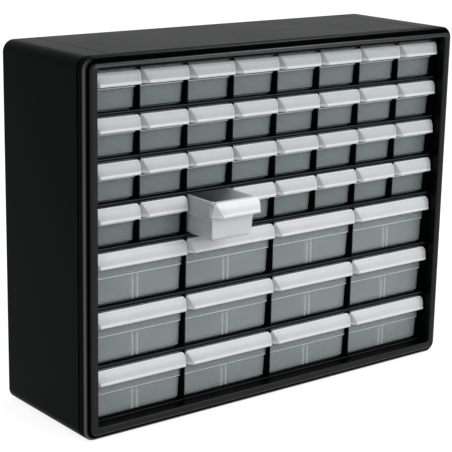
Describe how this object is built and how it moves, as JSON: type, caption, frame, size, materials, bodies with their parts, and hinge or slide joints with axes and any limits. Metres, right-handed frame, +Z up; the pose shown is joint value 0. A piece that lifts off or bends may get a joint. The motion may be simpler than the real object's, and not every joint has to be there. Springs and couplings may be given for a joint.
{
  "type": "parts_cabinet",
  "caption": "Small-parts storage cabinet: black moulded casing with rows of narrow drawers above wide ones, in frosted clear plastic, one pulled half out",
  "frame": {"origin": "middle of the cabinet's footprint on its base, halfway between the front frame's crest and the back panel", "axes": "X along the width, to the right for someone facing the drawers; the drawers face -Y and the back panel faces +Y; Z up"},
  "size_m": [0.508, 0.1952, 0.398],
  "materials": {
    "casing_black": "satin moulded polystyrene",
    "crate_black": "semi-matt moulded polystyrene",
    "drawer_clear": "frosted translucent polypropylene"
  },
  "bodies": {
    "cabinet": {"left_side_panel": "casing_black", "right_side_panel": "casing_black", "top_panel": "casing_black", "bottom_panel": "casing_black", "back_panel": "casing_black", "front_frame": "casing_black", "top_deck": "crate_black", "bottom_deck": "crate_black", "shelf_1": "crate_black", "shelf_2": "crate_black", "shelf_3": "crate_black", "shelf_4": "crate_black", "shelf_5": "crate_black", "shelf_6": "crate_black", "small_dividers": "crate_black", "large_dividers": "crate_black"},
    "moving_small_drawer_r1_c1": {"small_drawer_r1_c1": "drawer_clear"},
    "moving_small_drawer_r1_c2": {"small_drawer_r1_c2": "drawer_clear"},
    "moving_small_drawer_r1_c3": {"small_drawer_r1_c3": "drawer_clear"},
    "moving_small_drawer_r1_c4": {"small_drawer_r1_c4": "drawer_clear"},
    "moving_small_drawer_r1_c5": {"small_drawer_r1_c5": "drawer_clear"},
    "moving_small_drawer_r1_c6": {"small_drawer_r1_c6": "drawer_clear"},
    "moving_small_drawer_r1_c7": {"small_drawer_r1_c7": "drawer_clear"},
    "moving_small_drawer_r1_c8": {"small_drawer_r1_c8": "drawer_clear"},
    "moving_small_drawer_r2_c1": {"small_drawer_r2_c1": "drawer_clear"},
    "moving_small_drawer_r2_c2": {"small_drawer_r2_c2": "drawer_clear"},
    "moving_small_drawer_r2_c3": {"small_drawer_r2_c3": "drawer_clear"},
    "moving_small_drawer_r2_c4": {"small_drawer_r2_c4": "drawer_clear"},
    "moving_small_drawer_r2_c5": {"small_drawer_r2_c5": "drawer_clear"},
    "moving_small_drawer_r2_c6": {"small_drawer_r2_c6": "drawer_clear"},
    "moving_small_drawer_r2_c7": {"small_drawer_r2_c7": "drawer_clear"},
    "moving_small_drawer_r2_c8": {"small_drawer_r2_c8": "drawer_clear"},
    "moving_small_drawer_r3_c1": {"small_drawer_r3_c1": "drawer_clear"},
    "moving_small_drawer_r3_c2": {"small_drawer_r3_c2": "drawer_clear"},
    "moving_small_drawer_r3_c3": {"small_drawer_r3_c3": "drawer_clear"},
    "moving_small_drawer_r3_c4": {"small_drawer_r3_c4": "drawer_clear"},
    "moving_small_drawer_r3_c5": {"small_drawer_r3_c5": "drawer_clear"},
    "moving_small_drawer_r3_c6": {"small_drawer_r3_c6": "drawer_clear"},
    "moving_small_drawer_r3_c7": {"small_drawer_r3_c7": "drawer_clear"},
    "moving_small_drawer_r3_c8": {"small_drawer_r3_c8": "drawer_clear"},
    "moving_small_drawer_r4_c1": {"small_drawer_r4_c1": "drawer_clear"},
    "moving_small_drawer_r4_c2": {"small_drawer_r4_c2": "drawer_clear"},
    "moving_small_drawer_r4_c3": {"small_drawer_r4_c3": "drawer_clear"},
    "moving_small_drawer_r4_c4": {"small_drawer_r4_c4": "drawer_clear"},
    "moving_small_drawer_r4_c5": {"small_drawer_r4_c5": "drawer_clear"},
    "moving_small_drawer_r4_c6": {"small_drawer_r4_c6": "drawer_clear"},
    "moving_small_drawer_r4_c7": {"small_drawer_r4_c7": "drawer_clear"},
    "moving_small_drawer_r4_c8": {"small_drawer_r4_c8": "drawer_clear"},
    "moving_large_drawer_r5_c1": {"large_drawer_r5_c1": "drawer_clear"},
    "moving_large_drawer_r5_c2": {"large_drawer_r5_c2": "drawer_clear"},
    "moving_large_drawer_r5_c3": {"large_drawer_r5_c3": "drawer_clear"},
    "moving_large_drawer_r5_c4": {"large_drawer_r5_c4": "drawer_clear"},
    "moving_large_drawer_r6_c1": {"large_drawer_r6_c1": "drawer_clear"},
    "moving_large_drawer_r6_c2": {"large_drawer_r6_c2": "drawer_clear"},
    "moving_large_drawer_r6_c3": {"large_drawer_r6_c3": "drawer_clear"},
    "moving_large_drawer_r6_c4": {"large_drawer_r6_c4": "drawer_clear"},
    "moving_large_drawer_r7_c1": {"large_drawer_r7_c1": "drawer_clear"},
    "moving_large_drawer_r7_c2": {"large_drawer_r7_c2": "drawer_clear"},
    "moving_large_drawer_r7_c3": {"large_drawer_r7_c3": "drawer_clear"},
    "moving_large_drawer_r7_c4": {"large_drawer_r7_c4": "drawer_clear"}
  },
  "joints": [
    {"name": "slide_small_drawer_r1_c1", "type": "slide", "parent": "cabinet", "child": "moving_small_drawer_r1_c1", "axis": [0, -1, 0], "range_m": [0, 0.1107]},
    {"name": "slide_small_drawer_r1_c2", "type": "slide", "parent": "cabinet", "child": "moving_small_drawer_r1_c2", "axis": [0, -1, 0], "range_m": [0, 0.1107]},
    {"name": "slide_small_drawer_r1_c3", "type": "slide", "parent": "cabinet", "child": "moving_small_drawer_r1_c3", "axis": [0, -1, 0], "range_m": [0, 0.1107]},
    {"name": "slide_small_drawer_r1_c4", "type": "slide", "parent": "cabinet", "child": "moving_small_drawer_r1_c4", "axis": [0, -1, 0], "range_m": [0, 0.1107]},
    {"name": "slide_small_drawer_r1_c5", "type": "slide", "parent": "cabinet", "child": "moving_small_drawer_r1_c5", "axis": [0, -1, 0], "range_m": [0, 0.1107]},
    {"name": "slide_small_drawer_r1_c6", "type": "slide", "parent": "cabinet", "child": "moving_small_drawer_r1_c6", "axis": [0, -1, 0], "range_m": [0, 0.1107]},
    {"name": "slide_small_drawer_r1_c7", "type": "slide", "parent": "cabinet", "child": "moving_small_drawer_r1_c7", "axis": [0, -1, 0], "range_m": [0, 0.1107]},
    {"name": "slide_small_drawer_r1_c8", "type": "slide", "parent": "cabinet", "child": "moving_small_drawer_r1_c8", "axis": [0, -1, 0], "range_m": [0, 0.1107]},
    {"name": "slide_small_drawer_r2_c1", "type": "slide", "parent": "cabinet", "child": "moving_small_drawer_r2_c1", "axis": [0, -1, 0], "range_m": [0, 0.1107]},
    {"name": "slide_small_drawer_r2_c2", "type": "slide", "parent": "cabinet", "child": "moving_small_drawer_r2_c2", "axis": [0, -1, 0], "range_m": [0, 0.1107]},
    {"name": "slide_small_drawer_r2_c3", "type": "slide", "parent": "cabinet", "child": "moving_small_drawer_r2_c3", "axis": [0, -1, 0], "range_m": [0, 0.1107]},
    {"name": "slide_small_drawer_r2_c4", "type": "slide", "parent": "cabinet", "child": "moving_small_drawer_r2_c4", "axis": [0, -1, 0], "range_m": [0, 0.1107]},
    {"name": "slide_small_drawer_r2_c5", "type": "slide", "parent": "cabinet", "child": "moving_small_drawer_r2_c5", "axis": [0, -1, 0], "range_m": [0, 0.1107]},
    {"name": "slide_small_drawer_r2_c6", "type": "slide", "parent": "cabinet", "child": "moving_small_drawer_r2_c6", "axis": [0, -1, 0], "range_m": [0, 0.1107]},
    {"name": "slide_small_drawer_r2_c7", "type": "slide", "parent": "cabinet", "child": "moving_small_drawer_r2_c7", "axis": [0, -1, 0], "range_m": [0, 0.1107]},
    {"name": "slide_small_drawer_r2_c8", "type": "slide", "parent": "cabinet", "child": "moving_small_drawer_r2_c8", "axis": [0, -1, 0], "range_m": [0, 0.1107]},
    {"name": "slide_small_drawer_r3_c1", "type": "slide", "parent": "cabinet", "child": "moving_small_drawer_r3_c1", "axis": [0, -1, 0], "range_m": [0, 0.1107]},
    {"name": "slide_small_drawer_r3_c2", "type": "slide", "parent": "cabinet", "child": "moving_small_drawer_r3_c2", "axis": [0, -1, 0], "range_m": [0, 0.1107]},
    {"name": "slide_small_drawer_r3_c3", "type": "slide", "parent": "cabinet", "child": "moving_small_drawer_r3_c3", "axis": [0, -1, 0], "range_m": [0, 0.1107]},
    {"name": "slide_small_drawer_r3_c4", "type": "slide", "parent": "cabinet", "child": "moving_small_drawer_r3_c4", "axis": [0, -1, 0], "range_m": [0, 0.1107]},
    {"name": "slide_small_drawer_r3_c5", "type": "slide", "parent": "cabinet", "child": "moving_small_drawer_r3_c5", "axis": [0, -1, 0], "range_m": [0, 0.1107]},
    {"name": "slide_small_drawer_r3_c6", "type": "slide", "parent": "cabinet", "child": "moving_small_drawer_r3_c6", "axis": [0, -1, 0], "range_m": [0, 0.1107]},
    {"name": "slide_small_drawer_r3_c7", "type": "slide", "parent": "cabinet", "child": "moving_small_drawer_r3_c7", "axis": [0, -1, 0], "range_m": [0, 0.1107]},
    {"name": "slide_small_drawer_r3_c8", "type": "slide", "parent": "cabinet", "child": "moving_small_drawer_r3_c8", "axis": [0, -1, 0], "range_m": [0, 0.1107]},
    {"name": "slide_small_drawer_r4_c1", "type": "slide", "parent": "cabinet", "child": "moving_small_drawer_r4_c1", "axis": [0, -1, 0], "range_m": [0, 0.1107]},
    {"name": "slide_small_drawer_r4_c2", "type": "slide", "parent": "cabinet", "child": "moving_small_drawer_r4_c2", "axis": [0, -1, 0], "range_m": [0, 0.1107]},
    {"name": "slide_small_drawer_r4_c3", "type": "slide", "parent": "cabinet", "child": "moving_small_drawer_r4_c3", "axis": [0, -1, 0], "range_m": [-0.047, 0.0637]},
    {"name": "slide_small_drawer_r4_c4", "type": "slide", "parent": "cabinet", "child": "moving_small_drawer_r4_c4", "axis": [0, -1, 0], "range_m": [0, 0.1107]},
    {"name": "slide_small_drawer_r4_c5", "type": "slide", "parent": "cabinet", "child": "moving_small_drawer_r4_c5", "axis": [0, -1, 0], "range_m": [0, 0.1107]},
    {"name": "slide_small_drawer_r4_c6", "type": "slide", "parent": "cabinet", "child": "moving_small_drawer_r4_c6", "axis": [0, -1, 0], "range_m": [0, 0.1107]},
    {"name": "slide_small_drawer_r4_c7", "type": "slide", "parent": "cabinet", "child": "moving_small_drawer_r4_c7", "axis": [0, -1, 0], "range_m": [0, 0.1107]},
    {"name": "slide_small_drawer_r4_c8", "type": "slide", "parent": "cabinet", "child": "moving_small_drawer_r4_c8", "axis": [0, -1, 0], "range_m": [0, 0.1107]},
    {"name": "slide_large_drawer_r5_c1", "type": "slide", "parent": "cabinet", "child": "moving_large_drawer_r5_c1", "axis": [0, -1, 0], "range_m": [0, 0.1107]},
    {"name": "slide_large_drawer_r5_c2", "type": "slide", "parent": "cabinet", "child": "moving_large_drawer_r5_c2", "axis": [0, -1, 0], "range_m": [0, 0.1107]},
    {"name": "slide_large_drawer_r5_c3", "type": "slide", "parent": "cabinet", "child": "moving_large_drawer_r5_c3", "axis": [0, -1, 0], "range_m": [0, 0.1107]},
    {"name": "slide_large_drawer_r5_c4", "type": "slide", "parent": "cabinet", "child": "moving_large_drawer_r5_c4", "axis": [0, -1, 0], "range_m": [0, 0.1107]},
    {"name": "slide_large_drawer_r6_c1", "type": "slide", "parent": "cabinet", "child": "moving_large_drawer_r6_c1", "axis": [0, -1, 0], "range_m": [0, 0.1107]},
    {"name": "slide_large_drawer_r6_c2", "type": "slide", "parent": "cabinet", "child": "moving_large_drawer_r6_c2", "axis": [0, -1, 0], "range_m": [0, 0.1107]},
    {"name": "slide_large_drawer_r6_c3", "type": "slide", "parent": "cabinet", "child": "moving_large_drawer_r6_c3", "axis": [0, -1, 0], "range_m": [0, 0.1107]},
    {"name": "slide_large_drawer_r6_c4", "type": "slide", "parent": "cabinet", "child": "moving_large_drawer_r6_c4", "axis": [0, -1, 0], "range_m": [0, 0.1107]},
    {"name": "slide_large_drawer_r7_c1", "type": "slide", "parent": "cabinet", "child": "moving_large_drawer_r7_c1", "axis": [0, -1, 0], "range_m": [0, 0.1107]},
    {"name": "slide_large_drawer_r7_c2", "type": "slide", "parent": "cabinet", "child": "moving_large_drawer_r7_c2", "axis": [0, -1, 0], "range_m": [0, 0.1107]},
    {"name": "slide_large_drawer_r7_c3", "type": "slide", "parent": "cabinet", "child": "moving_large_drawer_r7_c3", "axis": [0, -1, 0], "range_m": [0, 0.1107]},
    {"name": "slide_large_drawer_r7_c4", "type": "slide", "parent": "cabinet", "child": "moving_large_drawer_r7_c4", "axis": [0, -1, 0], "range_m": [0, 0.1107]}
  ]
}
